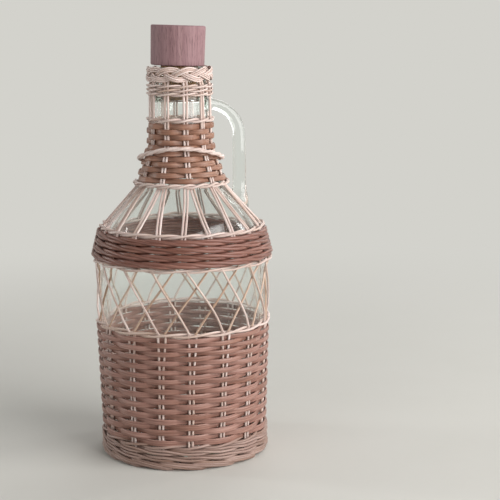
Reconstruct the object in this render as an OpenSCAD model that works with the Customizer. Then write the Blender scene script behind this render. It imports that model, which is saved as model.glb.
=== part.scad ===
// Glass jug with a finger handle, dressed in a woven willow jacket, with a wooden stopper.
// Millimetres. The origin is on the jug's axis at the floor, +Z is up and the handle points to +X.

/* [Glass jug] */
// Outer radius of the straight part of the body
body_r = 63.6; // [62:0.1:66]
// How much narrower the glass is at its foot
foot_draw = 3.8; // [2:0.1:6]
// Height at which the body stops widening
belly_z = 112; // [108:1:125]
// Height from the straight body's corner to the neck
shoulder_h = 36.5; // [34:0.5:40]
// Radius of the rounding between body and shoulder
shoulder_round = 60; // [45:1:62]
// Outer radius where the shoulder turns into the neck
neck_base_r = 31; // [30:0.1:32]
// Height of the flare at the foot of the neck
flare_h = 29.9; // [28:0.1:31]
// Outer radius of the neck above its flare
neck_r = 21.4; // [21:0.1:22]
// Length of the neck above its flare
neck_l = 45.5; // [44:0.5:48]
// Outer radius of the top of the neck
neck_top_r = 20.6; // [20.4:0.1:21.2]
// Height of the mouth above the neck
mouth_h = 13.2; // [12:0.1:14]
// Outer radius of the mouth
mouth_r = 19.6; // [19:0.1:20]
// Bore of the mouth
bore_d = 28.4; // [26:0.1:29]
// Length of the bore
bore_l = 20; // [18:0.5:24]
// Thickness of the glass wall
glass_wall = 3.2; // [2.6:0.1:3.6]
// Thickness of the glass floor
glass_floor = 6; // [5:0.1:8]

/* [Glass handle] */
// Distance of the grip's centre line from the axis
handle_x = 45.8; // [44:0.1:47]
// Depth of the upper root's centre line under the top of the neck
handle_drop = 15.4; // [14:0.1:18]
// Bend radius of the centre line
handle_bend = 24; // [20:0.5:26]
// Width of the handle, outwards
handle_w = 10.4; // [9:0.1:11]
// Thickness of the handle, across
handle_t = 8.2; // [7:0.1:8.6]

/* [Willow] */
// Diameter of the upright rods
stake_d = 1.8; // [1.5:0.05:1.9]
// Thickness of the flat weaving strips
strip_t = 0.95; // [0.7:0.05:1]
// Clearance between crossing pieces of willow, and to the glass that they touch
weave_gap = 0.15; // [0.12:0.01:0.2]
// Diameter of the single rings of the twined rings
twine_d = 1.9; // [1.5:0.05:2]
// Thickness of the woven rods of the basket's top ring and of the collar
rod_t = 1.35; // [1.1:0.05:1.6]

/* [Base] */
// Diameter of the base sticks
stick_d = 3; // [2.5:0.1:3]
// Thickness of the woven base
base_t = 1.4; // [1:0.1:1.6]
// Height of the woven base above the floor
base_z = 1.6; // [1.4:0.1:2]
// Clearance between the woven base and its sticks
stick_gap = 0.05; // [0.05:0.01:0.2]
// Radius of the bare cross in the middle of the base
cross_r = 12; // [8:1:20]
// Height of the rolled foot border
border_h = 6.4; // [6:0.1:6.8]
// Depth of the flat that the foot border stands on
border_flat = 0.5; // [0.5:0.1:1]

/* [Basket] */
// Number of upright pairs
basket_pairs = 16; // [12:2:16]
// Angle of the first pair
basket_phase = 17.4; // [0:0.1:22.4]
// Number of strips
basket_rows = 22; // [18:1:22]
// Spacing of the strips at the top
row_pitch = 3.3; // [3.1:0.05:3.3]
// Growth of the spacing from one strip to the next
row_growth = 0.045; // [0:0.005:0.045]
// Gap between neighbouring strips
row_gap = 0.35; // [0.2:0.05:0.6]
// Spacing of the two rods of a pair
pair_w = 2.8; // [2.4:0.1:3.2]
// Spacing of the two rods of a pair under the lattice
pair_top_w = 5.8; // [5:0.1:6]
// Angle by which the pairs turn on their way up from the foot to the top ring
pair_turn = 2.7; // [0:0.1:3]
// Height over which the pairs spread
spread_h = 28; // [20:1:35]
// Number of rods of the foot wale
foot_rods = 5; // [4:1:5]
// Diameter of the rods of the foot wale
foot_rod_d = 2.4; // [2.2:0.1:2.5]
// Gap between two rods of the foot wale
foot_rod_gap = 0.06; // [0.05:0.01:0.3]

/* [Lattice] */
// Angle by which a rod that leans left turns on its way up
lean_left = 24.2; // [20:0.1:26]
// Angle by which a rod that leans right turns on its way up
lean_right = 28.5; // [25:0.5:30]

/* [Band] */
// Depth of the band's lowest rod under the corner of body and shoulder
band_drop = 17.7; // [15:0.1:19]
// Number of rods above each other in the band
band_rows = 8; // [7:1:8]
// Diameter of a band rod
band_rod_d = 2.45; // [2.2:0.05:2.5]
// Diameter of a band rod where it is squeezed between the glass and the uprights
band_inner_d = 1.4; // [1:0.05:1.45]
// Gap between two band rods
band_rod_gap = 0.17; // [0.1:0.01:0.3]
// Clearance of the ring under the band to the glass
band_gap = 0.25; // [0.2:0.01:0.6]
// Spacing of the ring under the band and the band's lowest rod
band_ring_step = 2.8; // [2.5:0.1:3.2]

/* [Shoulder and neck] */
// Number of upright groups on the neck
neck_groups = 10; // [8:2:10]
// Spacing of the two rods of a pair on the shoulder and the neck
group_w = 2.4; // [2.2:0.1:2.6]
// Spacing in degrees of two shoulder pairs where they join under the neck
join_angle = 7.8; // [7.4:0.1:9]
// Number of strips on the neck
neck_rows = 11; // [9:1:11]
// Height of the lowest strip above the foot of the neck
neck_row_rise = 4.9; // [4.8:0.1:7]
// Spacing of the neck strips
neck_pitch = 3.98; // [3.7:0.02:4]
// Gap between the top strip and the ring above it
neck_ring_gap = 0.9; // [0.4:0.1:1.2]
// Depth of the lowest collar rod under the top of the neck
collar_drop = 6.8; // [6.5:0.1:8]
// Number of collar rods
collar_rows = 3; // [2:1:3]
// Spacing of the collar rods
collar_pitch = 3; // [2.8:0.1:3]

/* [Border and hoop] */
// Depth of the plaited border's middle under the lip
plait_drop = 5.2; // [5:0.1:5.6]
// Middle radius of the plaited border
plait_r = 23.6; // [23.4:0.1:24]
// Number of loops round the plaited border
plait_loops = 10; // [7:3:10]
// Thickness of the loose hoop
hoop_d = 3.2; // [2.6:0.1:3.2]
// Height of the hoop at the back, above the foot of the neck
hoop_low_rise = 16; // [14:0.1:17]
// How much higher the hoop rides at its front
hoop_rise = 13; // [10:0.1:16]
// Clearance of the hoop to the woven neck
hoop_gap = 0.3; // [0.2:0.05:0.6]
// How much further the hoop stands off the neck at its raised front
hoop_stand_off = 1.2; // [0:0.1:3]
// Direction of the raised front, measured from the handle
hoop_front = -100; // [-120:1:-80]

/* [Stopper] */
// Height of the whole jug, to the top of the stopper
total_h = 330; // [326:0.5:334]
// Height of the stopper head
head_h = 30; // [27:0.5:31]
// Height of the cork that shows between the lip and the head
cork_shown = 1.8; // [1.8:0.1:2.5]
// Lean of the head
head_lean = 2.1; // [0:0.1:2.2]
// How far the head sits off the jug's axis, against its lean
head_shift = 1.4; // [0:0.1:1.6]
// Direction of the lean, measured from the handle
lean_side = -10; // [-30:1:30]
// Radius of the head at its top
head_top_r = 20.8; // [20:0.1:21.5]
// Radius of the head at its bottom
head_low_r = 20.4; // [19.5:0.1:21]
// Width of the broken edge of the head
head_edge = 0.7; // [0.4:0.1:1.2]
// Clearance of the cork in the mouth, all round
cork_gap = 0.08; // [0.05:0.01:0.1]
// Length of cork in the mouth
cork_l = 18; // [14:1:18]
// Depth of the socket that holds the cork in the head
socket_h = 8; // [5:1:12]
// Clearance of the glued cork in its socket
socket_gap = 0.05; // [0.03:0.01:0.1]

/* [Hidden] */
$fn = 64;
peeled = [0.86, 0.76, 0.66];
brown = [0.55, 0.33, 0.22];
stake_r = stake_d / 2;
twine_r = twine_d / 2;

// Heights of the glass, from the top of the stopper down and from the base up
lip_z = total_h - head_h - cork_shown;
neck_top_z = lip_z - mouth_h;
flare_z = neck_top_z - neck_l;
neck_base_z = flare_z - flare_h;
shoulder_z = neck_base_z - shoulder_h;
stick_z = base_z + base_t + stick_gap + stick_d / 2;
glass_z = stick_z + stick_d / 2 + weave_gap;
foot_r = body_r - foot_draw;
handle_z = neck_top_z - handle_drop;

function unit(v) = v / norm(v);
function cross2(a, b) = a[0] * b[1] - a[1] * b[0];
function polar(r, a, z) = [r * cos(a), r * sin(a), z];
function smooth(s) = s * s * (3 - 2 * s);

// Points of a rounded corner at b between a and c
function corner_arc(a, b, c, r, n = 8) =
    r == 0 ? [b] :
    let (
        u = unit(a - b), v = unit(c - b),
        half = acos(u * v) / 2,
        centre = b + unit(u + v) * r / sin(half),
        from = b + u * r / tan(half) - centre,
        turn = (180 - 2 * half) * sign(cross2(b - a, c - b))
    )
    [for (i = [0:n]) let (t = turn * i / n)
        centre + [from[0] * cos(t) - from[1] * sin(t), from[0] * sin(t) + from[1] * cos(t)]];

// Outline through corners, each given as [radius, height, rounding]
function rounded(path) =
    let (last = len(path) - 1, xy = [for (p = path) [p[0], p[1]]])
    [for (i = [0:last])
        each (i == 0 || i == last ? [xy[i]] : corner_arc(xy[i - 1], xy[i], xy[i + 1], path[i][2]))];

// The same corners, moved inwards by d
function inset(path, d) =
    let (last = len(path) - 1, xy = [for (p = path) [p[0], p[1]]])
    [for (i = [0:last])
        let (
            before = unit(xy[max(i, 1)] - xy[max(i, 1) - 1]),
            after = unit(xy[min(i, last - 1) + 1] - xy[min(i, last - 1)]),
            normal = unit([-before[1] - after[1], before[0] + after[0]]),
            reach = d / (normal * [-after[1], after[0]])
        )
        [xy[i][0] + normal[0] * reach, xy[i][1] + normal[1] * reach, path[i][2]]];

// The jug's side, from the foot to the top of the neck
side_corners = [
    [foot_r, glass_z, 7], [body_r, belly_z, 60], [body_r, shoulder_z, shoulder_round],
    [neck_base_r, neck_base_z, 12], [neck_r, flare_z, 30], [neck_top_r, neck_top_z, 3]
];
inner_side = inset(side_corners, glass_wall);
bore_r = bore_d / 2;
bore_low_z = lip_z - bore_l;
bore_step = 6;
mouth_corners = [[mouth_r, neck_top_z + 2, 1], [mouth_r, lip_z, 1.5], [bore_r, lip_z, 0]];
outer_path = rounded(concat([[0, glass_z, 0]], side_corners, mouth_corners));
outer_side = rounded(concat(side_corners, mouth_corners));
inner_path = rounded(concat([[0, glass_z + glass_floor, 0]],
    [[inner_side[0][0], glass_z + glass_floor, 7]], [for (i = [1:4]) inner_side[i]],
    [[neck_top_r - glass_wall, bore_low_z - bore_step, 2], [bore_r, bore_low_z, 2],
     [bore_r, lip_z + 1, 0]]));
radius_by_height = [for (p = outer_side) if (p[1] < lip_z) [p[1], p[0]]];
height_by_radius = [for (p = outer_side) if (p[1] > belly_z && p[1] < neck_top_z) [-p[0], p[1]]];

// Outer radius of the glass at a height, and the height of the shoulder at a radius
function glass_r(z) = lookup(z, radius_by_height);
function glass_height(r) = lookup(-r, height_by_radius);
// How much a distance square to the glass grows when it is measured along the radius
function slant(z) = norm([1, (glass_r(z + 1) - glass_r(z - 1)) / 2]);
// Radius of the middle of the uprights where strips pass behind and in front of them
function stake_mid(z) = glass_r(z) + (2 * weave_gap + strip_t + stake_r) * slant(z);

// The strips stand on the foot wale and carry the basket's top ring
foot_pitch = foot_rod_d + foot_rod_gap;
foot_rod_z = border_h + weave_gap + foot_rod_d / 2;
foot_top_z = foot_rod_z + foot_pitch * (foot_rods - 1) + foot_rod_d / 2 + row_gap;
last_row = basket_rows - 1;
basket_top_z = foot_top_z + row_h(last_row) / 2 + row_pitch * last_row + row_growth / 2 * last_row * last_row;
basket_ring_z = basket_top_z + row_pitch / 2 + row_gap + twine_d;
spread_z = basket_ring_z - spread_h;
// Half the spacing of the two rods of a basket pair
function pair_half(z) = lookup(z, [[spread_z, pair_w / 2], [basket_ring_z, pair_top_w / 2]]);
function pair_angle(z) = pair_half(z) / stake_mid(z) * 180 / PI;
// Angle of the first pair at a height
function pair_phase(z) = basket_phase + pair_turn * (z - border_h) / (basket_ring_z - border_h);

// Height of a basket strip's centre, and the strip's own height
function row_z(j) = basket_top_z - row_pitch * j - row_growth / 2 * j * j;
function row_h(j) = row_pitch + row_growth * j - row_gap;

// One way round a woven ring of n uprights: [angle, 0 behind or 1 in front]
function weave_stations(n, phase, half, parity, steps) =
    [for (i = [0:n - 1])
        let (a = phase + 360 / n * i, here = (i + parity) % 2, next = 1 - here,
            reach = 360 / n - 2 * half)
        each concat([[a, here]],
            [for (k = [0:steps]) [a + half + reach * k / steps, here + (next - here) * smooth(k / steps)]])];

function ring_points(stations, low, high) =
    [for (s = stations) let (r = low + (high - low) * s[1]) [r * cos(s[0]), r * sin(s[0])]];

// A strip with upright sides, woven round n uprights, and t thick where it passes in front of them
module upright_strip(z, h, t, n, phase, half, parity, steps = 3) {
    low = glass_r(z) + weave_gap;
    high = stake_mid(z) + stake_r + weave_gap;
    stations = weave_stations(n, phase, half, parity, steps);
    translate([0, 0, z - h / 2])
        linear_extrude(h)
            difference() {
                polygon(ring_points(stations, low + strip_t, high + t));
                polygon(ring_points(stations, low, high));
            }
}

// A closed ring whose section at each station is a list of [radius, height] corners
module ring_loop(sections, angles) {
    n = len(angles);
    m = len(sections[0]);
    points = [for (i = [0:n - 1]) each [for (p = sections[i]) polar(p[0], angles[i], p[1])]];
    faces = [for (i = [0:n - 1], j = [0:m - 1])
        let (a = i * m + j, b = i * m + (j + 1) % m,
            c = ((i + 1) % n) * m + (j + 1) % m, d = ((i + 1) % n) * m + j)
        each [[a, c, b], [a, d, c]]];
    polyhedron(points, faces);
}

// A flat strip that leans with the glass, woven round n uprights
module leaning_strip(z, h, n, phase, half, parity) {
    stations = weave_stations(n, phase, half, parity, 2);
    edges = [z - h / 2, z + h / 2];
    low = [for (e = edges) glass_r(e) + weave_gap * slant(z)];
    high = [for (e = edges) stake_mid(e) + (stake_r + weave_gap) * slant(z)];
    t = strip_t * slant(z);
    sections = [for (s = stations)
        let (r = [for (k = [0:1]) low[k] + (high[k] - low[k]) * s[1]])
        [[r[0], edges[0]], [r[1], edges[1]], [r[1] + t, edges[1]], [r[0] + t, edges[0]]]];
    ring_loop(sections, [for (s = stations) s[0]]);
}

module torus(r, z, d) {
    translate([0, 0, z]) rotate_extrude() translate([r, 0]) circle(d = d, $fn = 24);
}

// A slim curved rod as one swept solid of a few sides
module swept_rod(points, d, sides = 6) {
    n = len(points);
    rings = [for (i = [0:n - 1])
        let (
            along = unit(points[min(i + 1, n - 1)] - points[max(i - 1, 0)]),
            out = unit([points[i][0], points[i][1], 0]),
            u = unit(cross(along, out)), v = cross(u, along)
        )
        each [for (j = [0:sides - 1]) let (t = 360 / sides * j) points[i] + d / 2 * (v * cos(t) + u * sin(t))]];
    walls = [for (i = [0:n - 2], j = [0:sides - 1])
        let (a = i * sides + j, b = i * sides + (j + 1) % sides)
        each [[a, b + sides, b], [a, a + sides, b + sides]]];
    caps = [for (j = [1:sides - 2]) each [
        [0, j, j + 1], [(n - 1) * sides, (n - 1) * sides + j + 1, (n - 1) * sides + j]]];
    polyhedron(rings, concat(walls, caps));
}

// Glass

module handle_section() {
    intersection() {
        circle(d = handle_w);
        square([handle_w + 1, handle_t], center = true);
    }
}

module handle() {
    bend_x = handle_x - handle_bend;
    bend_z = handle_z - handle_bend;
    root_x = (neck_top_r + bore_r) / 2;
    foot_z = glass_height(handle_x + handle_w / 2) - 1;
    translate([bend_x, 0, bend_z])
        rotate([90, 0, 0])
            rotate_extrude(angle = 90) translate([handle_bend, 0]) handle_section();
    translate([handle_x, 0, foot_z]) linear_extrude(bend_z - foot_z) handle_section();
    translate([root_x, 0, handle_z])
        rotate([0, 90, 0]) linear_extrude(bend_x - root_x) handle_section();
}

module glass_jug() {
    color([0.78, 0.86, 0.82, 0.45])
        difference() {
            union() {
                rotate_extrude($fn = 96) polygon(concat(outer_path, [[0, lip_z]]));
                handle();
            }
            rotate_extrude($fn = 96) polygon(concat(inner_path, [[0, lip_z + 1]]));
        }
}

// Base and foot

border_r = stake_mid(glass_z + 4);
border_rod_r = (border_h + border_flat) / 2;
base_r = border_r - border_rod_r - weave_gap;

module base_weave() {
    color(brown)
        translate([0, 0, base_z])
            difference() {
                cylinder(r = base_r, h = base_t, $fn = 96);
                translate([0, 0, -1]) cylinder(r = cross_r, h = base_t + 2);
            }
}

// Split sticks cross in the middle, and each of their ends goes out to the foot as a spoke
module base_sticks() {
    split_d = stick_d / 2 - weave_gap / 2;
    split_step = 2 * cross_r / 8;
    color(peeled) {
        for (i = [0:basket_pairs - 1])
            rotate(basket_phase + 360 / basket_pairs * i)
                translate([cross_r - stick_d, 0, stick_z])
                    rotate([0, 90, 0]) cylinder(d = stick_d, h = base_r - cross_r + stick_d, $fn = 24);
        for (layer = [0, 1], i = [-1.5:1.5])
            rotate(basket_phase + 90 * layer)
                translate([0, split_step * i * 0.8, stick_z + (layer - 0.5) * (stick_d - split_d)])
                    rotate([0, 90, 0])
                        cylinder(d = split_d, h = 1.4 * (cross_r - stick_d), center = true, $fn = 24);
    }
}

module foot_border() {
    color(peeled)
        rotate_extrude($fn = 96)
            intersection() {
                translate([border_r, border_rod_r - border_flat]) circle(r = border_rod_r, $fn = 32);
                translate([border_r - border_h, 0]) square([2 * border_h, border_h]);
            }
}

module foot_wale() {
    color(peeled)
        for (i = [0:foot_rods - 1]) {
            z = foot_rod_z + foot_pitch * i;
            torus(stake_mid(z) + stake_r + weave_gap + foot_rod_d / 2, z, foot_rod_d);
        }
}

// Basket

module basket_stakes() {
    foot = border_h + weave_gap;
    color(peeled)
        for (i = [0:basket_pairs - 1], side = [-1, 1]) {
            a = 360 / basket_pairs * i;
            heights = [foot, spread_z, basket_ring_z];
            swept_rod([for (z = heights) polar(stake_mid(z), pair_phase(z) + a + side * pair_angle(z), z)],
                stake_d, 8);
        }
}

module basket_strips(parity) {
    color(brown)
        for (j = [parity:2:basket_rows - 1]) {
            z = row_z(j);
            half = pair_angle(z) + (stake_r + 3 * weave_gap) / stake_mid(z) * 180 / PI;
            upright_strip(z, row_h(j), strip_t, basket_pairs, pair_phase(z), half, parity);
        }
}

// Two rods in a ring, one above the other, that change places at every upright
module woven_pair(z, t, n, phase, half) {
    for (k = [0:1])
        upright_strip(z + (k - 0.5) * twine_d, twine_d - weave_gap, t, n, phase, half, k);
}

module basket_top_ring() {
    z = basket_ring_z;
    half = pair_angle(z) + (stake_r + 4 * weave_gap) / stake_mid(z) * 180 / PI;
    color(peeled) woven_pair(z, rod_t, basket_pairs, pair_phase(z), half);
}

// Lattice: every rod goes on from a basket pair, turns on its way up and ends in the band

band_z = shoulder_z - band_drop;
band_ring_z = band_z - band_ring_step;
// Radius of the uprights in the band's lowest rod, with a ring between them and the glass
band_low_r = body_r + band_gap + twine_d + weave_gap + stake_r;
lattice_low_z = basket_ring_z + twine_d + weave_gap;
lattice_top_z = band_ring_z + twine_r;
// Places along a rod, from 0 at the basket to 1 in the band; the rods cross at the third and sixth
lattice_stops = [0, 0.15, 0.34, 0.5, 0.65, 0.79, 0.93, 1];

function layer_r(layer) = body_r + weave_gap + stake_r + layer * (stake_d + weave_gap);
function lattice_r(t, layer) = lookup(t, [
    [0, stake_mid(lattice_low_z)], [0.15, layer_r(layer)], [0.79, layer_r(layer)], [0.93, band_low_r]]);

module lattice_rods(side, turn, layer) {
    start = pair_angle(basket_ring_z);
    first = pair_phase(basket_ring_z);
    color(peeled)
        for (i = [0:basket_pairs - 1])
            swept_rod([for (t = lattice_stops)
                let (a = first + 360 / basket_pairs * i + side * (start + turn * t))
                polar(lattice_r(t, layer), a, lattice_low_z + (lattice_top_z - lattice_low_z) * t)], stake_d);
}

// Band: rods inside and outside of the uprights, which bend over the shoulder here

cone_tilt = atan2(body_r - neck_base_r, neck_base_z - shoulder_z);
// The shoulder uprights lie on the cone of the glass
function cone_r(z) = neck_base_r + (neck_base_z - z) * tan(cone_tilt) + (stake_r + weave_gap) / cos(cone_tilt);
band_pitch = band_rod_d + band_rod_gap;
band_top_z = band_z + band_pitch * band_rows;
knee_z = band_top_z + twine_r;
knee_r = cone_r(knee_z);
band_tilt = atan2(band_low_r - knee_r, knee_z - band_z);
// Radius of the uprights in the band, with the inner rods between them and the glass
function band_stake_r(z) = max(
    lookup(z, [[band_z, band_low_r], [knee_z, knee_r]]),
    glass_r(z) + 2 * weave_gap + band_inner_d + stake_r);

// A ring outside and a ring inside of the uprights, at a place on their line
module ring_pair(r, z, tilt, outer_d, inner_d) {
    for (ring = [[1, outer_d], [-1, inner_d]]) {
        reach = ring[0] * (stake_r + weave_gap + ring[1] / 2);
        torus(r + reach * cos(tilt), z + reach * sin(tilt), ring[1]);
    }
}

module band_bottom_ring() {
    color(peeled) ring_pair(band_low_r, band_ring_z, 0, twine_d, twine_d);
}

module band_weave() {
    color(brown)
        for (i = [0:band_rows - 1]) {
            z = band_z + band_pitch * i;
            ring_pair(band_stake_r(z), z, band_tilt, band_rod_d, band_inner_d);
        }
}

module band_top_ring() {
    color(peeled) ring_pair(knee_r, knee_z, band_tilt, twine_d, twine_d);
}

// Shoulder: twice as many pairs as the neck has groups, and each two draw together at the neck

shoulder_top_z = neck_base_z - stake_r;

function join_offset(z, side) =
    lookup(z, [[knee_z, 90 / neck_groups], [shoulder_top_z, join_angle / 2]]) * side;

module shoulder_stakes() {
    color(peeled)
        for (i = [0:neck_groups - 1], side = [-1, 1], rod_side = [-1, 1]) {
            group = 180 / neck_groups + 360 / neck_groups * i;
            places = [[band_z + 3, band_stake_r(band_z + 3), knee_z], [knee_z, knee_r, knee_z],
                [shoulder_top_z, cone_r(shoulder_top_z), shoulder_top_z]];
            swept_rod([for (p = places)
                polar(p[1], group + join_offset(p[2], side) + rod_side * group_w / 2 / p[1] * 180 / PI, p[0])],
                stake_d, 8);
        }
}

// Neck

neck_row_z = neck_base_z + neck_row_rise;
neck_ring_z = neck_row_z + neck_pitch * (neck_rows - 1) + (neck_pitch - row_gap) / 2 + neck_ring_gap + twine_d;
neck_ring_low_z = shoulder_top_z + 1.2;
collar_z = neck_top_z - collar_drop;
neck_foot_z = neck_ring_low_z + twine_d;

module neck_bottom_ring() {
    r = cone_r(neck_ring_low_z - twine_d) + stake_r + weave_gap + twine_r;
    color(peeled) {
        torus(r, neck_ring_low_z, twine_d);
        torus(r - 0.4, neck_ring_low_z + twine_d, twine_d);
    }
}

group_phase = 180 / neck_groups;
function group_angle(z) = group_w / 2 / stake_mid(z) * 180 / PI;
function group_half(z) = group_angle(z) + (stake_r + 3 * weave_gap) / stake_mid(z) * 180 / PI;

module neck_strips(parity) {
    color(brown)
        for (j = [parity:2:neck_rows - 1]) {
            z = neck_row_z + neck_pitch * j;
            leaning_strip(z, neck_pitch - row_gap, neck_groups, group_phase, group_half(z), parity);
        }
}

module neck_stakes() {
    top = plait_z - plait_half_h - weave_gap;
    heights = [neck_foot_z, neck_base_z + 6, flare_z - 10, flare_z - 3, flare_z + 3, flare_z + 10,
        neck_ring_z, neck_top_z, top];
    color(peeled)
        for (i = [0:neck_groups - 1], side = [-1, 1])
            swept_rod([for (z = heights)
                polar(stake_mid(z), group_phase + 360 / neck_groups * i + side * group_angle(z), z)], stake_d);
}

module neck_top_ring() {
    color(peeled) woven_pair(neck_ring_z, twine_d, neck_groups, group_phase, group_half(neck_ring_z));
}

module collar_weave() {
    color(peeled)
        for (i = [0:collar_rows - 1]) {
            z = collar_z + collar_pitch * i;
            upright_strip(z, collar_pitch - row_gap, rod_t, neck_groups, group_phase, group_half(z), i % 2);
        }
}

// Plaited border: one flat strand goes three times round and crosses itself between two loops

plait_z = lip_z - plait_drop;
plait_swing = 3.8;
plait_depth = 1.4;
strand_h = 4;
strand_t = 1.5;
plait_half_h = plait_swing + strand_h / 2;
strand_steps = 156;

module plaited_border() {
    angles = [for (i = [0:strand_steps - 1]) 1080 / strand_steps * i];
    sections = [for (a = angles)
        let (t = a * plait_loops / 3, r = plait_r + plait_depth * sin(2 * t), z = plait_z + plait_swing * sin(t))
        [for (j = [0:5]) [r - strand_t / 2 * cos(60 * j), z + strand_h / 2 * sin(60 * j)]]];
    color(peeled) ring_loop(sections, angles);
}

// Loose hoop round the neck, through the handle

hoop_low_z = neck_base_z + hoop_low_rise;
hoop_steps = 48;
function strip_outer_r(z) = stake_mid(z) + (stake_r + weave_gap + strip_t) * slant(z);

module neck_hoop() {
    angles = [for (i = [0:hoop_steps - 1]) 360 / hoop_steps * i];
    sections = [for (a = angles)
        let (
            front = (1 + cos(a - hoop_front)) / 2,
            z = hoop_low_z + hoop_rise * pow(front, 1.83),
            r = strip_outer_r(z - hoop_d / 2) + hoop_gap + hoop_d / 2 + hoop_stand_off * front
        )
        [for (j = [0:5]) [r - hoop_d / 2 * cos(60 * j), z + hoop_d / 2 * sin(60 * j)]]];
    color(peeled) ring_loop(sections, angles);
}

// Stopper

cork_r = bore_r - cork_gap;
// The head leans about the middle of its underside, and its highest edge is the top of the jug
head_z = total_h - head_h * cos(head_lean) - (head_top_r - head_edge) * sin(head_lean);

module cork_plug() {
    color([0.72, 0.54, 0.36])
        translate([0, 0, lip_z - cork_l])
            cylinder(r = cork_r, h = cork_l + head_z - lip_z + socket_h - socket_gap);
}

module stopper_head() {
    color([0.62, 0.42, 0.36])
        difference() {
            translate(polar(-head_shift, lean_side, head_z))
                rotate([0, head_lean, lean_side])
                    rotate_extrude($fn = 96)
                        polygon([[0, 0], [head_low_r - head_edge, 0], [head_low_r, head_edge],
                            [head_top_r, head_h - head_edge], [head_top_r - head_edge, head_h], [0, head_h]]);
            translate([0, 0, head_z - 2]) cylinder(r = cork_r + socket_gap, h = socket_h + 2);
        }
}

glass_jug();
base_weave();
base_sticks();
foot_border();
foot_wale();
basket_stakes();
basket_strips(0);  // basket_strips_a
basket_strips(1);  // basket_strips_b
basket_top_ring();
lattice_rods(-1, lean_left, 1);  // lattice_rods_left
lattice_rods(1, lean_right, 0);  // lattice_rods_right
band_bottom_ring();
band_weave();
band_top_ring();
shoulder_stakes();
neck_bottom_ring();
neck_strips(0);  // neck_strips_a
neck_strips(1);  // neck_strips_b
neck_stakes();
neck_top_ring();
collar_weave();
plaited_border();
neck_hoop();
cork_plug();
stopper_head();
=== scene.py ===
import math
import bpy
import numpy as np
from mathutils import Matrix, Vector


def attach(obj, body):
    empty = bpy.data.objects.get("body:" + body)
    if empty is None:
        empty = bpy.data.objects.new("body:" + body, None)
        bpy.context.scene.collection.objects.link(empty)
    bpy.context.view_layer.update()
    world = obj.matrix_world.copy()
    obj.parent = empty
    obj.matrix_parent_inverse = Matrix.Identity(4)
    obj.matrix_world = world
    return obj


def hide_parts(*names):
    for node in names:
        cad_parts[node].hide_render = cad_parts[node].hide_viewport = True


# A glass jug in a woven willow jacket. Sizes are the CAD model's, in millimetres, and meshes are in metres.
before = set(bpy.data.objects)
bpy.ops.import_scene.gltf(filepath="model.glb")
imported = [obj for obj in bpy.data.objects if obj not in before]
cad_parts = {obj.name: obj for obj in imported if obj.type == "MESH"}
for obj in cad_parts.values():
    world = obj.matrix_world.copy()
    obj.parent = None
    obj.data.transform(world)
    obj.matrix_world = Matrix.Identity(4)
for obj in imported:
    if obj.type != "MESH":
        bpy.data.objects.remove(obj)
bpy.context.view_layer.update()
MM = 0.001
rng = np.random.default_rng(11)

# Glass
BODY_R = 63.6
FOOT_R = 59.8
GLASS_Z = 6.2
BELLY_Z = 112.0
SHOULDER_Z = 173.1
NECK_BASE_R = 31.0
NECK_BASE_Z = 209.6
NECK_R = 21.4
FLARE_Z = 239.5
NECK_TOP_R = 20.6
NECK_TOP_Z = 285.0
MOUTH_R = 19.6
LIP_Z = 298.2
BORE_R = 14.2
BORE_L = 20.0
WALL = 3.2
FLOOR = 6.0
HANDLE_X = 45.8
HANDLE_Z = 269.6
HANDLE_BEND = 24.0
HANDLE_ROOT_X = 15.5
HANDLE_FOOT_Z = 180.0
HANDLE_NECK_X = 20.4

# Willow
STAKE_R = 0.9
STRIP_T = 0.95
STRIP_FRONT_T = 1.4
GAP = 0.15
TWINE_R = 0.95
TWINE_REACH = STAKE_R + GAP + TWINE_R
PAIRS = 16
PAIR_STEP = 360 / PAIRS
PHASE = 17.4
BORDER_H = 6.4
FOOT_ROD_R = 1.2
FOOT_PITCH = 2.46
FOOT_TURN = 37.0
ROWS = 22
ROW_PITCH = 3.3
ROW_GROWTH = 0.045
ROW_GAP = 0.35
ROW_FILL = 1.17
BASKET_TOP_Z = 100.31
RING_Z = 104.21
SPREAD_Z = 76.2
PAIR_HALF = 1.4
PAIR_TOP_HALF = 2.9
PAIR_TURN = 2.7
# Uneven steps of the hand-set pairs, in degrees
PAIR_SHIFT = (0.4, -0.8, 0.6, 1.1, -0.5, -1.0, 0.3, 0.8, -0.4, 1.3, 0.5, -1.8, -1.6, -2.2, -0.7, 0.2)
LEAN_LEFT = 24.2
LEAN_RIGHT = 28.5
BAND_Z = 155.4
BAND_PITCH = 2.62
BAND_ROWS = 8
BAND_R = 66.8
BAND_ROD_R = 1.36
BAND_FRONT = 2.3
BAND_BEHIND = -1.0
BAND_RING_Z = 152.6
BAND_RING_PHASE = 5.4
BAND_RING_ROD_R = 0.86
KNEE_Z = BAND_Z + BAND_PITCH * BAND_ROWS + TWINE_R
GROUPS = 10
GROUP_STEP = 360 / GROUPS
GROUP_PHASE = 18.0
GROUP_HALF = 1.2
SHOULDER_PAIRS = 2 * GROUPS
SHOULDER_STEP = 360 / SHOULDER_PAIRS
JOIN_ANGLE = 3.9
NECK_LOW_Z = NECK_BASE_Z - STAKE_R + 1.2
NECK_ROWS = 11
NECK_ROW_Z = 214.5
NECK_PITCH = 3.98
NECK_FILL = 1.14
NECK_RING_Z = 258.9
COLLAR_ROWS = 3
COLLAR_Z = 278.2
COLLAR_PITCH = 3.0
COLLAR_ROD_R = 0.76
COLLAR_RISE = 0.82
PLAIT_Z = 293.0
PLAIT_R = 23.6
PLAIT_SWING = 3.8
PLAIT_DEPTH = 1.4
PLAIT_ROUNDS = 3
PLAIT_WAVES = 10
PLAIT_ROD_STEP = 1.38
HOOP_LOW_Z = 225.6
HOOP_RISE = 13.0
HOOP_FRONT = -100.0
HOOP_R = 1.6
HOOP_STAND_OFF = 1.2
HOOP_TWISTS = 9

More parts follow.
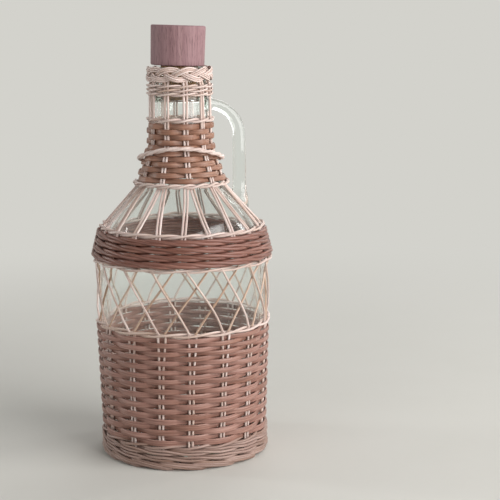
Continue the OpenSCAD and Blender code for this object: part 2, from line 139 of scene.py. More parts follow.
# Base and stopper
CROSS_R = 12.0
CROSS_STEP = 4.4
BASE_WEAVE_Z = 3.6
BASE_PITCH = 1.95
HEAD_H = 30.0
HEAD_TOP_R = 20.8
HEAD_LOW_R = 20.4
HEAD_EDGE = 0.7
HEAD_LEAN = 2.1
HEAD_SHIFT = 1.4
LEAN_SIDE = -10.0
TOTAL_H = 330.0

# Camera, in metres, millimetres of lens and degrees
CAMERA_BACK = 1.0078
CAMERA_UP = 0.3341
CAMERA_YAW = 2.99
CAMERA_PITCH = 10.0
CAMERA_ROLL = -0.42
CAMERA_SIDE = -10.0
LENS = 94.7


def corner_arc(a, b, c, radius, steps=10):
    """Points of the rounded corner at b, between a and c."""
    a, b, c = (np.array(p, float) for p in (a, b, c))
    u = (a - b) / np.linalg.norm(a - b)
    v = (c - b) / np.linalg.norm(c - b)
    half = math.acos(float(u @ v)) / 2
    centre = b + (u + v) / np.linalg.norm(u + v) * radius / math.sin(half)
    start = b + u * radius / math.tan(half) - centre
    side = (b - a)[0] * (c - b)[1] - (b - a)[1] * (c - b)[0]
    turn = math.copysign(math.pi - 2 * half, side)
    points = []
    for i in range(steps + 1):
        t = turn * i / steps
        x = start[0] * math.cos(t) - start[1] * math.sin(t)
        y = start[0] * math.sin(t) + start[1] * math.cos(t)
        points.append(centre + (x, y))
    return points


def rounded(corners, steps=10):
    """Outline through corners, each given as (radius, height, rounding)."""
    outline = []
    last = len(corners) - 1
    for i, (r, z, rounding) in enumerate(corners):
        if rounding and 0 < i < last:
            outline += corner_arc(corners[i - 1][:2], (r, z), corners[i + 1][:2], rounding, steps)
        else:
            outline.append(np.array((r, z), float))
    return np.array(outline)


SIDE = [
    (FOOT_R, GLASS_Z, 7), (BODY_R, BELLY_Z, 60), (BODY_R, SHOULDER_Z, 60),
    (NECK_BASE_R, NECK_BASE_Z, 12), (NECK_R, FLARE_Z, 30), (NECK_TOP_R, NECK_TOP_Z, 3),
]
MOUTH = [(MOUTH_R, NECK_TOP_Z + 2, 1), (MOUTH_R, LIP_Z, 1.5), (BORE_R, LIP_Z, 0)]
side_path = rounded(SIDE + MOUTH)
side_path = side_path[side_path[:, 1] < LIP_Z]


def glass_r(z):
    """Outer radius of the glass at a height."""
    return np.interp(z, side_path[:, 1], side_path[:, 0])


def slant(z):
    """How much a distance square to the glass grows when it is measured along the radius."""
    return np.hypot(1, (glass_r(z + 1) - glass_r(z - 1)) / 2)


def stake_mid(z):
    """Radius of the middle of the uprights where strips pass behind and in front of them."""
    return glass_r(z) + (2 * GAP + STRIP_T + STAKE_R) * slant(z)


def smooth(s):
    s = np.clip(s, 0, 1)
    return s * s * (3 - 2 * s)


def polar(r, degrees, z):
    """Points from radii, angles and heights."""
    a = np.radians(degrees)
    r, a, z = np.broadcast_arrays(r, a, z)
    return np.stack([r * np.cos(a), r * np.sin(a), z], axis=-1).astype(float)


def waver(count, size, waves=(2, 3, 5, 7)):
    """A small seeded unevenness that closes on itself."""
    t = np.linspace(0, 2 * math.pi, count, endpoint=False)
    total = sum(rng.normal() / w * np.sin(w * t + rng.uniform(0, 6.3)) for w in waves)
    return size * total


class Rods:
    """Rods and strips of willow, gathered into one mesh with a grain attribute."""

    def __init__(self):
        self.points = []
        self.grain = []
        self.faces = []
        self.count = 0

    def add(self, path, out, across=None, closed=False, boxy=2.0, sides=10, normal=None):
        """Sweeps a section along a path: out is its half thickness, across its half height."""
        path = np.asarray(path, float)
        n = len(path)
        across = out if across is None else across
        out = np.broadcast_to(np.asarray(out, float), n)
        across = np.broadcast_to(np.asarray(across, float), n)
        if closed:
            along = np.roll(path, -1, axis=0) - np.roll(path, 1, axis=0)
        else:
            along = np.gradient(path, axis=0)
        along /= np.linalg.norm(along, axis=1, keepdims=True)
        facing = path * (1, 1, 0) if normal is None else np.broadcast_to(np.asarray(normal, float), (n, 3))
        facing = facing - along * np.sum(facing * along, axis=1, keepdims=True)
        facing = facing / np.linalg.norm(facing, axis=1, keepdims=True)
        beside = np.cross(along, facing)
        t = np.linspace(0, 2 * math.pi, sides, endpoint=False)
        c = np.sign(np.cos(t)) * np.abs(np.cos(t)) ** (2 / boxy)
        s = np.sign(np.sin(t)) * np.abs(np.sin(t)) ** (2 / boxy)
        rings = (
            path[:, None] + facing[:, None] * (out[:, None] * c)[..., None]
            + beside[:, None] * (across[:, None] * s)[..., None]
        )
        steps = np.linalg.norm(np.diff(path, axis=0), axis=1)
        length = np.concatenate([[0], np.cumsum(steps)])
        seed = rng.uniform(0, 50)
        grain = np.empty((n, sides, 3))
        grain[..., 0] = length[:, None]
        grain[..., 1] = across[:, None] * s + 0.3 * out[:, None] * c
        grain[..., 2] = seed
        self.points.append(rings.reshape(-1, 3))
        self.grain.append(grain.reshape(-1, 3))
        last = n if closed else n - 1
        i = np.repeat(np.arange(last), sides)
        j = np.tile(np.arange(sides), last)
        k = (j + 1) % sides
        ahead = (i + 1) % n
        quads = np.stack([i * sides + j, ahead * sides + j, ahead * sides + k, i * sides + k], axis=1)
        self.faces += (quads + self.count).tolist()
        if not closed:
            self.faces.append([self.count + q for q in range(sides)])
            self.faces.append([self.count + (n - 1) * sides + q for q in reversed(range(sides))])
        self.count += n * sides

    def piece(self, name, node, material, body="jug"):
        """Makes the object, which stands for a CAD node and rides on its body."""
        mesh = bpy.data.meshes.new(name)
        mesh.from_pydata((np.concatenate(self.points) * MM).tolist(), [], self.faces)
        grain = mesh.attributes.new("grain", "FLOAT_VECTOR", "POINT")
        grain.data.foreach_set("vector", np.concatenate(self.grain).astype(np.float32).ravel())
        mesh.shade_smooth()
        return place(name, mesh, node, material, body)


def place(name, mesh, node, material, body="jug"):
    """Puts a mesh in the scene in the place of a CAD node."""
    mesh.materials.append(material)
    piece = bpy.data.objects.new(name, mesh)
    bpy.context.scene.collection.objects.link(piece)
    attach(piece, body)
    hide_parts(node)
    return piece


# Materials


def srgb(*rgb):
    """A colour written in 0 to 255, as linear values."""
    return tuple(((c / 255 + 0.055) / 1.055) ** 2.4 if c > 10 else c / 255 / 12.92 for c in rgb) + (1,)


class Shader:
    """A material whose nodes are added one line at a time."""

    def __init__(self, name):
        self.material = bpy.data.materials.new(name + "_finish")
        self.material["slot"] = name
        self.material.use_nodes = True
        self.tree = self.material.node_tree
        self.tree.nodes.clear()
        self.surface = self.add("ShaderNodeBsdfPrincipled")
        self.out = self.add("ShaderNodeOutputMaterial", {"Surface": self.surface.outputs[0]})

    def add(self, kind, inputs=None, **settings):
        node = self.tree.nodes.new(kind)
        for key, value in settings.items():
            setattr(node, key, value)
        for key, value in (inputs or {}).items():
            self.set(node, key, value)
        return node

    def set(self, node, key, value):
        if isinstance(value, bpy.types.NodeSocket):
            self.tree.links.new(value, node.inputs[key])
        else:
            node.inputs[key].default_value = value

    def scaled(self, vector, scale):
        """A vector with its parts multiplied."""
        node = self.add("ShaderNodeVectorMath", {0: vector, 1: scale}, operation="MULTIPLY")
        return node.outputs[0]

    def noise(self, vector, scale, detail=4.0, rough=0.6):
        node = self.add("ShaderNodeTexNoise", {"Vector": vector, "Scale": scale, "Detail": detail,
                                               "Roughness": rough})
        return node.outputs["Fac"]

    def ramp(self, value, *stops):
        """Colours at places between 0 and 1."""
        node = self.add("ShaderNodeValToRGB", {0: value})
        ramp = node.color_ramp
        while len(ramp.elements) < len(stops):
            ramp.elements.new(0.5)
        for element, (at, colour) in zip(ramp.elements, stops):
            element.position = at
            element.color = colour
        return node.outputs[0]

    def mix(self, amount, a, b, blend="MIX"):
        node = self.add("ShaderNodeMix", {0: amount, 6: a, 7: b}, data_type="RGBA", blend_type=blend)
        return node.outputs[2]

    def spread(self, value, low, high):
        """A value between 0 and 1 spread between two others."""
        node = self.add("ShaderNodeMapRange", {"Value": value, "To Min": low, "To Max": high})
        return node.outputs[0]

    def bump(self, height, strength, distance):
        node = self.add("ShaderNodeBump", {"Height": height, "Strength": strength, "Distance": distance})
        self.set(self.surface, "Normal", node.outputs[0])


def willow(name, dark, middle, light, mottle, gloss=0.5):
    """Willow with streaks along each rod, its own tone for each rod and small dark leaf scars."""
    s = Shader(name)
    grain = s.add("ShaderNodeAttribute", attribute_name="grain").outputs["Vector"]
    streaks = s.noise(s.scaled(grain, (0.035, 2.2, 1.0)), 1.0, 5.0, 0.65)
    patches = s.noise(s.scaled(grain, (0.03, 0.25, 1.3)), 1.0, 2.0)
    tone = s.noise(s.scaled(grain, (0.016, 0.0, 7.7)), 1.0, 1.0)
    colour = s.ramp(streaks, (0.3, dark), (0.5, middle), (0.72, light))
    colour = s.mix(s.spread(patches, 0.0, mottle), colour, dark)
    tint = s.ramp(tone, (0.3, (0.72, 0.64, 0.56, 1)), (0.5, (0.88, 0.86, 0.84, 1)), (0.68, (1, 1, 1, 1)))
    colour = s.mix(1.0, colour, tint, "MULTIPLY")
    scars = s.add("ShaderNodeTexVoronoi", {"Vector": s.scaled(grain, (0.045, 0.35, 3.1)), "Scale": 1.0})
    scar = s.ramp(scars.outputs["Distance"], (0.02, (0.45, 0.36, 0.3, 1)), (0.07, (1, 1, 1, 1)))
    colour = s.mix(1.0, colour, scar, "MULTIPLY")
    s.set(s.surface, "Base Color", colour)
    s.set(s.surface, "Roughness", s.spread(streaks, gloss - 0.08, gloss + 0.14))
    s.set(s.surface, "Specular IOR Level", 0.5)
    fibres = s.noise(s.scaled(grain, (0.12, 5.0, 1.0)), 1.0, 3.0)
    s.bump(fibres, 0.35, 0.00025)
    return s.material


def glass():
    """Pale green moulded glass with a faintly wavy skin."""
    s = Shader("clear_glass")
    where = s.add("ShaderNodeTexCoord").outputs["Object"]
    s.set(s.surface, "Base Color", (0.97, 0.985, 0.975, 1))
    s.set(s.surface, "Transmission Weight", 1.0)
    s.set(s.surface, "IOR", 1.5)
    film = s.noise(where, 14.0, 2.0)
    s.set(s.surface, "Roughness", s.spread(film, 0.02, 0.06))
    s.bump(s.noise(s.scaled(where, (1.0, 1.0, 0.45)), 20.0, 0.0), 0.03, 0.001)
    depth = s.add("ShaderNodeVolumeAbsorption", {"Color": (0.72, 0.88, 0.8, 1), "Density": 14.0})
    s.set(s.out, "Volume", depth.outputs[0])
    return s.material


def wood():
    """Dusty pink-brown wood with upright grain and pores, and growth rings on its ends."""
    s = Shader("stopper_wood")
    where = s.add("ShaderNodeTexCoord").outputs["Object"]
    fibres = s.noise(s.scaled(where, (1.0, 1.0, 0.07)), 1500.0, 3.0, 0.7)
    streaks = s.noise(s.scaled(where, (1.0, 1.0, 0.02)), 420.0, 3.0, 0.6)
    pith = s.add("ShaderNodeVectorMath", {0: s.scaled(where, (1.0, 1.0, 0.06)), 1: (0.05, 0.06, 0.0)},
                 operation="DISTANCE").outputs["Value"]
    years = s.add("ShaderNodeMath", {0: pith, 1: 2600.0}, operation="MULTIPLY").outputs[0]
    years = s.add("ShaderNodeMath", {0: years}, operation="SINE").outputs[0]
    dark, middle, light = srgb(141, 108, 112), srgb(152, 119, 123), srgb(163, 131, 133)
    colour = s.ramp(streaks, (0.32, dark), (0.5, middle), (0.7, light))
    rings = s.add("ShaderNodeMapRange", {"Value": years, "From Min": -1.0, "To Max": 0.2}).outputs[0]
    colour = s.mix(rings, colour, srgb(128, 95, 97))
    pores = s.ramp(fibres, (0.36, (0.5, 0.44, 0.44, 1)), (0.47, (1, 1, 1, 1)))
    colour = s.mix(0.85, colour, s.mix(1.0, colour, pores, "MULTIPLY"))
    s.set(s.surface, "Base Color", colour)
    s.set(s.surface, "Roughness", s.spread(fibres, 0.5, 0.72))
    s.set(s.surface, "Specular IOR Level", 0.35)
    s.bump(fibres, 0.3, 0.0003)
    return s.material


def cork():
    """Cork with fine granules and dark pits."""
    s = Shader("cork")
    where = s.add("ShaderNodeTexCoord").outputs["Object"]
    grains = s.add("ShaderNodeTexVoronoi", {"Vector": where, "Scale": 700.0})
    tone = s.noise(where, 420.0, 3.0)
    dark, middle, light = srgb(120, 84, 56), srgb(182, 142, 102), srgb(208, 172, 132)
    colour = s.ramp(tone, (0.3, dark), (0.5, middle), (0.75, light))
    pits = s.ramp(s.noise(where, 260.0, 1.0), (0.34, (0.35, 0.25, 0.2, 1)), (0.4, (1, 1, 1, 1)))
    colour = s.mix(1.0, colour, pits, "MULTIPLY")
    s.set(s.surface, "Base Color", colour)
    s.set(s.surface, "Roughness", 0.85)
    s.bump(grains.outputs["Distance"], 0.4, 0.0004)
    return s.material


PEELED = willow("peeled_willow", srgb(190, 160, 150), srgb(234, 215, 209), srgb(248, 239, 236), 0.28, 0.36)
TAN = willow("peeled_willow", srgb(160, 126, 106), srgb(214, 186, 166), srgb(238, 220, 206), 0.3, 0.38)
# A darker copy of the peeled willow for the foot rods: painted shade, as the foot gets less light than the
# rods above it
PEELED_PAINTED_SHADE = willow("peeled_willow", srgb(108, 82, 72), srgb(176, 147, 137), srgb(216, 192, 182), 0.42, 0.42)
BROWN = willow("brown_willow", srgb(112, 76, 64), srgb(168, 125, 113), srgb(208, 170, 159), 0.38, 0.34)
BAND = willow("brown_willow", srgb(84, 51, 42), srgb(148, 101, 89), srgb(196, 148, 133), 0.45, 0.34)
NECK = willow("brown_willow", srgb(104, 68, 52), srgb(163, 118, 97), srgb(204, 163, 141), 0.4, 0.36)
GLASS = glass()
WOOD = wood()
CORK = cork()


# Weaving


def swing(position, flat):
    """0 behind an upright and 1 in front of it, changing from each upright to the next."""
    s = position % 1.0
    here = np.floor(position) % 2
    w = smooth((s - flat) / (1 - 2 * flat))
    return here + (1 - 2 * here) * w


def ring_angles(count):
    return np.linspace(0, 360, count, endpoint=False)


def places(a, uprights, phase, shifts):
    """Where each angle lies among the uprights, counted from the first, with their uneven steps."""
    number = np.arange(-2, uprights + 3)
    angle = phase + 360 / uprights * number + np.asarray(shifts)[number % uprights]
    return np.interp(a, angle, number)


def strip(rods, z, height, fill, uprights, phase, parity, half_width, rough, shifts=None):
    """A strip woven round a ring of uprights, close to the glass behind them."""
    a = ring_angles(uprights * 16) + phase - 180 / uprights
    spacing = 2 * math.pi * stake_mid(z) / uprights
    shifts = np.zeros(uprights) if shifts is None else shifts
    front = swing(places(a, uprights, phase, shifts) + parity, half_width / spacing)
    level = z + waver(len(a), rough)
    grow = slant(z)
    low = glass_r(level) + (GAP + STRIP_T / 2) * grow
    high = stake_mid(level) + (STAKE_R + GAP + STRIP_FRONT_T / 2) * grow
    r = low + (high - low) * front
    tall = height / 2 * fill * (1 + waver(len(a), 0.02)) * (1 + 0.05 * front)
    deep = (STRIP_T + (STRIP_FRONT_T - STRIP_T) * front) / 2
    tilt = (glass_r(z + 1) - glass_r(z - 1)) / 2
    facing = polar(1.0, a, -tilt)
    rods.add(polar(r, a, level), deep, tall, closed=True, boxy=3.0, sides=14, normal=facing)


def twine(rods, r, z, rod_r, uprights, phase, reach, rise, tilt=0.0):
    """Two rods that twist round each other and take each upright between them."""
    a = ring_angles(uprights * 12) + phase
    for k in (0, 1):
        turn = math.pi * ((a - phase) * uprights / 360 + k)
        swell = reach * np.clip(1.15 * np.cos(turn), -1, 1)
        lift = rise * np.sin(turn)
        radius = r + swell * math.cos(tilt) - lift * math.sin(tilt) + waver(len(a), 0.05)
        level = z + lift * math.cos(tilt) + swell * math.sin(tilt) + waver(len(a), 0.06)
        rods.add(polar(radius, a, level), rod_r * (1 + waver(len(a), 0.03)), closed=True)


def wale(rods, r, z, rod_r, uprights, phase, pitch, reach_out, reach_in, tilt=0.0, drop=(0.55, 0.9)):
    """Three rods in turn, each in front of two uprights and behind the third, two rods high."""
    turns = 3 * uprights
    u = np.linspace(0, turns, turns * 12, endpoint=False)
    a = phase + u * 360 / uprights
    s = u % 3.0
    back = np.abs(s - 2.5)
    back = np.minimum(back, 3 - back)
    inside = 1 - smooth((back - 0.12) / 0.75)
    swell = reach_out + (reach_in - reach_out) * inside
    fall = smooth((s - drop[0]) / drop[1])
    rise_back = smooth((s - 2.1) / 0.8)
    lift = pitch * (0.5 - fall + rise_back)
    radius = r + swell * math.cos(tilt) - lift * math.sin(tilt)
    level = z + lift * math.cos(tilt) + swell * math.sin(tilt)
    radius = radius + waver(len(a), 0.06, (5, 7, 11, 13))
    level = level + waver(len(a), 0.09, (5, 8, 11, 14))
    thin = 1 + waver(len(a), 0.05, (7, 9, 13))
    rods.add(polar(radius, a, level), rod_r * thin, closed=True)


def lerp(z, *stops):
    """A value that changes in straight lines through (height, value) stops."""
    return np.interp(z, [stop[0] for stop in stops], [stop[1] for stop in stops])


def row_z(j):
    """Height of a round of the basket, counted from the top."""
    return BASKET_TOP_Z - ROW_PITCH * j - ROW_GROWTH / 2 * j * j


def row_h(j):
    """Height of the strip in a round of the basket."""
    return ROW_PITCH + ROW_GROWTH * j - ROW_GAP


def pair_phase(z):
    """Angle of the first pair at a height: the pairs turn a little on their way up."""
    return PHASE + PAIR_TURN * (z - BORDER_H) / (RING_Z - BORDER_H)


def pair_half(z):
    """Half the spacing of the two rods of a basket pair."""
    return lerp(z, (SPREAD_Z, PAIR_HALF), (RING_Z, PAIR_TOP_HALF))


def basket_stakes():
    rods = Rods()
    z = np.linspace(BORDER_H - 0.6, RING_Z + 0.5, 72)
    for i in range(PAIRS):
        for side in (-1, 1):
            half = pair_half(z) + rng.normal(0, 0.07)
            middle = pair_phase(z) + PAIR_STEP * i + PAIR_SHIFT[i]
            a = middle + side * np.degrees(half / stake_mid(z))
            sway = 0.16 * np.sin(z * 0.045 + rng.uniform(0, 6)) + 0.07 * np.sin(z * 0.95 + math.pi * i)
            path = polar(stake_mid(z) + 0.5 * sway, a + np.degrees(sway / 66), z)
            rods.add(path, STAKE_R * rng.uniform(0.93, 1.03))
    rods.piece("upright_pairs", "basket_stakes", PEELED)


def basket_strips(parity, name, node):
    rods = Rods()
    for j in range(parity, ROWS, 2):
        z = row_z(j)
        half = pair_half(z) + STAKE_R + 0.1
        strip(rods, z, row_h(j), ROW_FILL, PAIRS, pair_phase(z), parity, half, 0.1, PAIR_SHIFT)
    rods.piece(name, node, BROWN)


def basket_top_ring():
    rods = Rods()
    phase = pair_phase(RING_Z)
    twine(rods, stake_mid(RING_Z), RING_Z, TWINE_R, PAIRS, phase, TWINE_REACH, TWINE_R + 0.1)
    rods.piece("basket_rim_twist", "basket_top_ring", PEELED)


def foot_wale():
    """Two waled courses, each two rods high, and a twined pair over them."""
    rods = Rods()
    low = BORDER_H + GAP + FOOT_ROD_R
    reach = STAKE_R + GAP + FOOT_ROD_R
    for step in (0.5, 2.5):
        z = low + FOOT_PITCH * step
        phase = PHASE + PAIR_STEP * step
        wale(rods, stake_mid(z), z, 0.89 * FOOT_ROD_R, PAIRS, phase, FOOT_PITCH, reach, 0.5 - reach)
    z = low + FOOT_PITCH * 4
    twine(rods, stake_mid(z), z, FOOT_ROD_R * 0.9, PAIRS, PHASE, reach, FOOT_ROD_R * 0.85)
    # The foot weave takes the peeled willow darkened with painted shade
    rods.piece("foot_weave", "foot_wale", PEELED_PAINTED_SHADE)


def foot_border():
    """Each pair turns sideways at the foot and lies over the next ones in a flat bundle."""
    rods = Rods()
    r0 = float(stake_mid(GLASS_Z + 4))
    a = ring_angles(160)
    rods.add(polar(r0 - 0.6, a, 3.1), 2.2, 2.6, closed=True)
    t = np.linspace(0, 1, 40)
    for i in range(PAIRS):
        for k in range(3):
            turn = FOOT_TURN * t - 2.0
            z = 5.55 - 1.35 * k - 3.0 * smooth((t - 0.05) / 0.95) + 0.8 * smooth(1 - t / 0.12)
            z = np.maximum(z + 0.9, 0.95)
            r = r0 + 2.1 + 0.75 * np.sin(math.pi * np.clip(t * 1.1, 0, 1)) - 3.2 * smooth((t - 0.78) / 0.22)
            r = r - 2.0 * smooth(1 - t / 0.1) - 0.35 * np.abs(z - 3.3)
            z = z + rng.normal(0, 0.07)
            rods.add(polar(r, PHASE + PAIR_STEP * i + turn, z), 0.95, 0.98)
    # The rolled foot takes the peeled willow darkened with painted shade
    rods.piece("rolled_foot", "foot_border", PEELED_PAINTED_SHADE)


def lattice(side, lean, layer, material, name, node):
    """Every rod goes on from a basket pair, turns on its way up and ends in the band."""
    rods = Rods()
    t = np.linspace(-0.05, 1.03, 48)
    low = RING_Z + 2 * TWINE_R + GAP
    high = BAND_RING_Z + TWINE_R
    flat = BODY_R + GAP + STAKE_R + layer * (2 * STAKE_R + GAP)
    r = np.interp(t, (0, 0.15, 0.79, 0.93), (stake_mid(low), flat, flat, BAND_R))
    start = math.degrees(PAIR_TOP_HALF / float(stake_mid(RING_Z)))
    rise = math.pi * np.clip(t, 0, 1)
    for i in range(PAIRS):
        bow = rng.normal(0, 0.7) * np.sin(rise) - 0.7 * np.sin(2 * rise)
        first = pair_phase(RING_Z) + PAIR_STEP * i + PAIR_SHIFT[i] * (1 - 0.5 * t)
        a = first + side * (start + (lean + rng.normal(0, 0.35)) * t + bow * 0.6)
        rods.add(polar(r, a, low + (high - low) * t), STAKE_R * rng.uniform(0.84, 0.93))
    rods.piece(name, node, material)


def band_line(z):
    """Radius of the uprights inside the band and at its top."""
    return lerp(z, (BAND_Z, BAND_R), (KNEE_Z, knee_r()))


def cone_r(z):
    """Radius of the uprights on the cone of the shoulder."""
    run = (BODY_R - NECK_BASE_R) / (NECK_BASE_Z - SHOULDER_Z)
    return NECK_BASE_R + (NECK_BASE_Z - z) * run + (STAKE_R + GAP) * math.hypot(1, run)


def knee_r():
    """Radius of the uprights where the band ends and the cone begins."""
    return cone_r(KNEE_Z)


def band_tilt():
    """How far the band leans inwards, in radians."""
    return math.atan2(BAND_R - knee_r(), KNEE_Z - BAND_Z)


def band():
    """A waled band over flat inner rods, with a twined pair below and above."""
    rods = Rods()
    twine(rods, BAND_R, BAND_RING_Z, BAND_RING_ROD_R, PAIRS, BAND_RING_PHASE, TWINE_REACH, 0.9)
    rods.piece("band_lower_twist", "band_bottom_ring", PEELED)
    rods = Rods()
    for k in range(BAND_ROWS // 2):
        z = BAND_Z + BAND_PITCH * (2 * k + 0.5)
        wale(rods, band_line(z), z, BAND_ROD_R, SHOULDER_PAIRS, SHOULDER_STEP * k, BAND_PITCH,
             BAND_FRONT, BAND_BEHIND, band_tilt(), (0.35, 1.3))
    for k in range(BAND_ROWS):
        z = BAND_Z + BAND_PITCH * k
        rods.add(polar(glass_r(z) + GAP + 0.7, ring_angles(160), z), 0.7, 1.2, closed=True)
    rods.piece("band_wale", "band_weave", BAND)
    rods = Rods()
    twine(rods, knee_r(), KNEE_Z, TWINE_R, SHOULDER_PAIRS, SHOULDER_STEP / 2, TWINE_REACH, TWINE_R,
          band_tilt())
    rods.piece("band_upper_twist", "band_top_ring", PEELED)


def shoulder_stakes():
    """Twice as many pairs as the neck has groups, and each two draw together at the neck."""
    rods = Rods()
    z = np.linspace(BAND_Z + 3, NECK_LOW_Z + 0.3, 44)
    r = np.where(z < KNEE_Z, band_line(z), cone_r(z))
    r = np.convolve(np.pad(r, 2, mode="edge"), np.ones(5) / 5, mode="valid")
    for i in range(GROUPS):
        for side in (-1, 1):
            shift = rng.normal(0, 0.25)
            for rod_side in (-1, 1):
                lean = lerp(z, (KNEE_Z, SHOULDER_STEP / 2), (NECK_BASE_Z - STAKE_R, JOIN_ANGLE)) * side
                a = GROUP_PHASE + GROUP_STEP * i + lean + rod_side * np.degrees(GROUP_HALF / r) + shift
                rods.add(polar(r, a, z), STAKE_R * rng.uniform(0.95, 1.04))
    rods.piece("shoulder_pairs", "shoulder_stakes", PEELED)


def neck_lower_ring():
    rods = Rods()
    r = cone_r(NECK_LOW_Z - 2 * TWINE_R) + STAKE_R + GAP + 0.4
    twine(rods, r, NECK_LOW_Z + 0.9, TWINE_R, SHOULDER_PAIRS, SHOULDER_STEP / 2, 0.95, 1.05)
    rods.piece("neck_lower_twist", "neck_bottom_ring", PEELED)


def neck_strips(parity, name, node):
    rods = Rods()
    half = GROUP_HALF + STAKE_R + 0.1
    for j in range(parity, NECK_ROWS, 2):
        z = NECK_ROW_Z + NECK_PITCH * j
        strip(rods, z, NECK_PITCH - ROW_GAP, NECK_FILL, GROUPS, GROUP_PHASE, parity, half, 0.12)
    rods.piece(name, node, NECK)


def neck_stakes():
    rods = Rods()
    z = np.linspace(NECK_LOW_Z - 1.5, PLAIT_Z - 3, 90)
    apart = np.degrees(GROUP_HALF / stake_mid(z))
    for i in range(GROUPS):
        for side in (-1, 1):
            sway = 0.25 * np.sin(z * 0.07 + rng.uniform(0, 6))
            path = polar(stake_mid(z), GROUP_PHASE + GROUP_STEP * i + side * apart + sway, z)
            rods.add(path, STAKE_R * rng.uniform(0.95, 1.05))
    rods.piece("neck_pairs", "neck_stakes", PEELED)


def neck_upper_ring():
    rods = Rods()
    r = stake_mid(NECK_RING_Z)
    twine(rods, r, NECK_RING_Z, TWINE_R, GROUPS, GROUP_PHASE, TWINE_REACH, TWINE_R + 0.1)
    rods.piece("neck_upper_twist", "neck_top_ring", PEELED)


def collar():
    rods = Rods()
    for j in range(COLLAR_ROWS):
        z = COLLAR_Z + COLLAR_PITCH * j
        phase = GROUP_PHASE + GROUP_STEP * j
        twine(rods, stake_mid(z), z, COLLAR_ROD_R, GROUPS, phase, TWINE_REACH, COLLAR_RISE)
    rods.piece("collar_rods", "collar_weave", PEELED)


def plait():
    """One strand of three thin rods goes three times round and crosses itself between two loops."""
    rods = Rods()
    a = np.linspace(0, 360 * PLAIT_ROUNDS, 660, endpoint=False)
    t = np.radians(a * PLAIT_WAVES / PLAIT_ROUNDS)
    along = PLAIT_R * math.pi / 180
    climb = PLAIT_SWING * np.cos(t) * math.radians(PLAIT_WAVES / PLAIT_ROUNDS)
    size = np.hypot(along, climb)
    for k in (-1, 0, 1):
        off = PLAIT_ROD_STEP * k + waver(len(a), 0.12, (4, 7, 9, 13))
        z = PLAIT_Z + PLAIT_SWING * np.sin(t) + off * along / size
        angle = a - np.degrees(off * climb / size / PLAIT_R)
        r = PLAIT_R + PLAIT_DEPTH * np.sin(2 * t) - 0.25 * abs(k)
        rods.add(polar(r, angle, z), 0.66, 0.69, closed=True)
    rods.piece("plaited_rim", "plaited_border", PEELED)


def hoop():
    """A loose hoop of two rods twisted together."""
    rods = Rods()
    a = ring_angles(420)
    front = (1 + np.cos(np.radians(a - HOOP_FRONT))) / 2
    z = HOOP_LOW_Z + HOOP_RISE * front ** 1.83
    outer = stake_mid(z - HOOP_R) + (STAKE_R + GAP + STRIP_T) * slant(z - HOOP_R)
    r = outer + 0.3 + HOOP_R + HOOP_STAND_OFF * front
    for k in (0, 1):
        turn = np.radians(a) * HOOP_TWISTS + math.pi * k
        rods.add(polar(r + 0.6 * np.cos(turn), a, z + 0.6 * np.sin(turn)), 1.18, 1.22, closed=True)
    rods.piece("loose_hoop", "neck_hoop", PEELED, "hoop")


# Base


def base():
    """Flat sticks cross in the middle, and rods are woven round their ends."""
    rods = Rods()
    rim = float(stake_mid(GLASS_Z + 4)) - 3.4
    up = (0, 0, 1)
    for i in range(PAIRS):
        r = np.linspace(CROSS_R - 3, rim, 24)
        rods.add(polar(r, PHASE + PAIR_STEP * i, BASE_WEAVE_Z), 0.8, 1.6, boxy=2.6, normal=up)
    x = np.linspace(-CROSS_R + 1, CROSS_R - 1, 12)
    for layer in (0, 1):
        turn = math.radians(PHASE + 90 * layer)
        z = np.full(len(x), BASE_WEAVE_Z + 1.5 * (layer - 0.5))
        for i in (-1.5, -0.5, 0.5, 1.5):
            y = CROSS_STEP * i
            points = [x * math.cos(turn) - y * math.sin(turn), x * math.sin(turn) + y * math.cos(turn), z]
            rods.add(np.stack(points, axis=1), 0.7, 1.7, boxy=2.6, normal=up)
    rods.piece("base_spokes", "base_sticks", PEELED)
    rods = Rods()
    a = ring_angles(PAIRS * 12) + PHASE
    for k in range(int((rim - CROSS_R - 1) / BASE_PITCH)):
        under = np.cos(math.pi * ((a - PHASE) * PAIRS / 360 + k))
        z = BASE_WEAVE_Z + 1.62 * np.clip(1.3 * under, -1, 1)
        r = CROSS_R + 1.2 + BASE_PITCH * k + waver(len(a), 0.08)
        rods.add(polar(r, a, z), 0.8, 0.95, closed=True, normal=up)
    rods.piece("base_rounds", "base_weave", BROWN)


# Glass and stopper


def lathe(name, outline, segments=144):
    """A closed solid from an outline that starts and ends on the axis."""
    n = len(outline)
    angles = np.linspace(0, 2 * math.pi, segments, endpoint=False)
    points = [(0, 0, outline[0][1]), (0, 0, outline[-1][1])]
    for a in angles:
        points += [(r * math.cos(a), r * math.sin(a), z) for r, z in outline[1:-1]]
    rows = n - 2
    faces = []
    for i in range(segments):
        here = 2 + i * rows
        ahead = 2 + (i + 1) % segments * rows
        faces.append((0, ahead, here))
        faces += [(here + k, ahead + k, ahead + k + 1, here + k + 1) for k in range(rows - 1)]
        faces.append((1, here + rows - 1, ahead + rows - 1))
    mesh = bpy.data.meshes.new(name)
    mesh.from_pydata((np.array(points) * MM).tolist(), [], faces)
    return bpy.data.objects.new(name, mesh)


def fine(outline, longest=4.0):
    """The same outline with more points on its long straight parts."""
    points = [outline[0]]
    for a, b in zip(outline[:-1], outline[1:]):
        steps = max(1, int(np.linalg.norm(b - a) / longest))
        points += [a + (b - a) * k / steps for k in range(1, steps + 1)]
    return np.array(points)


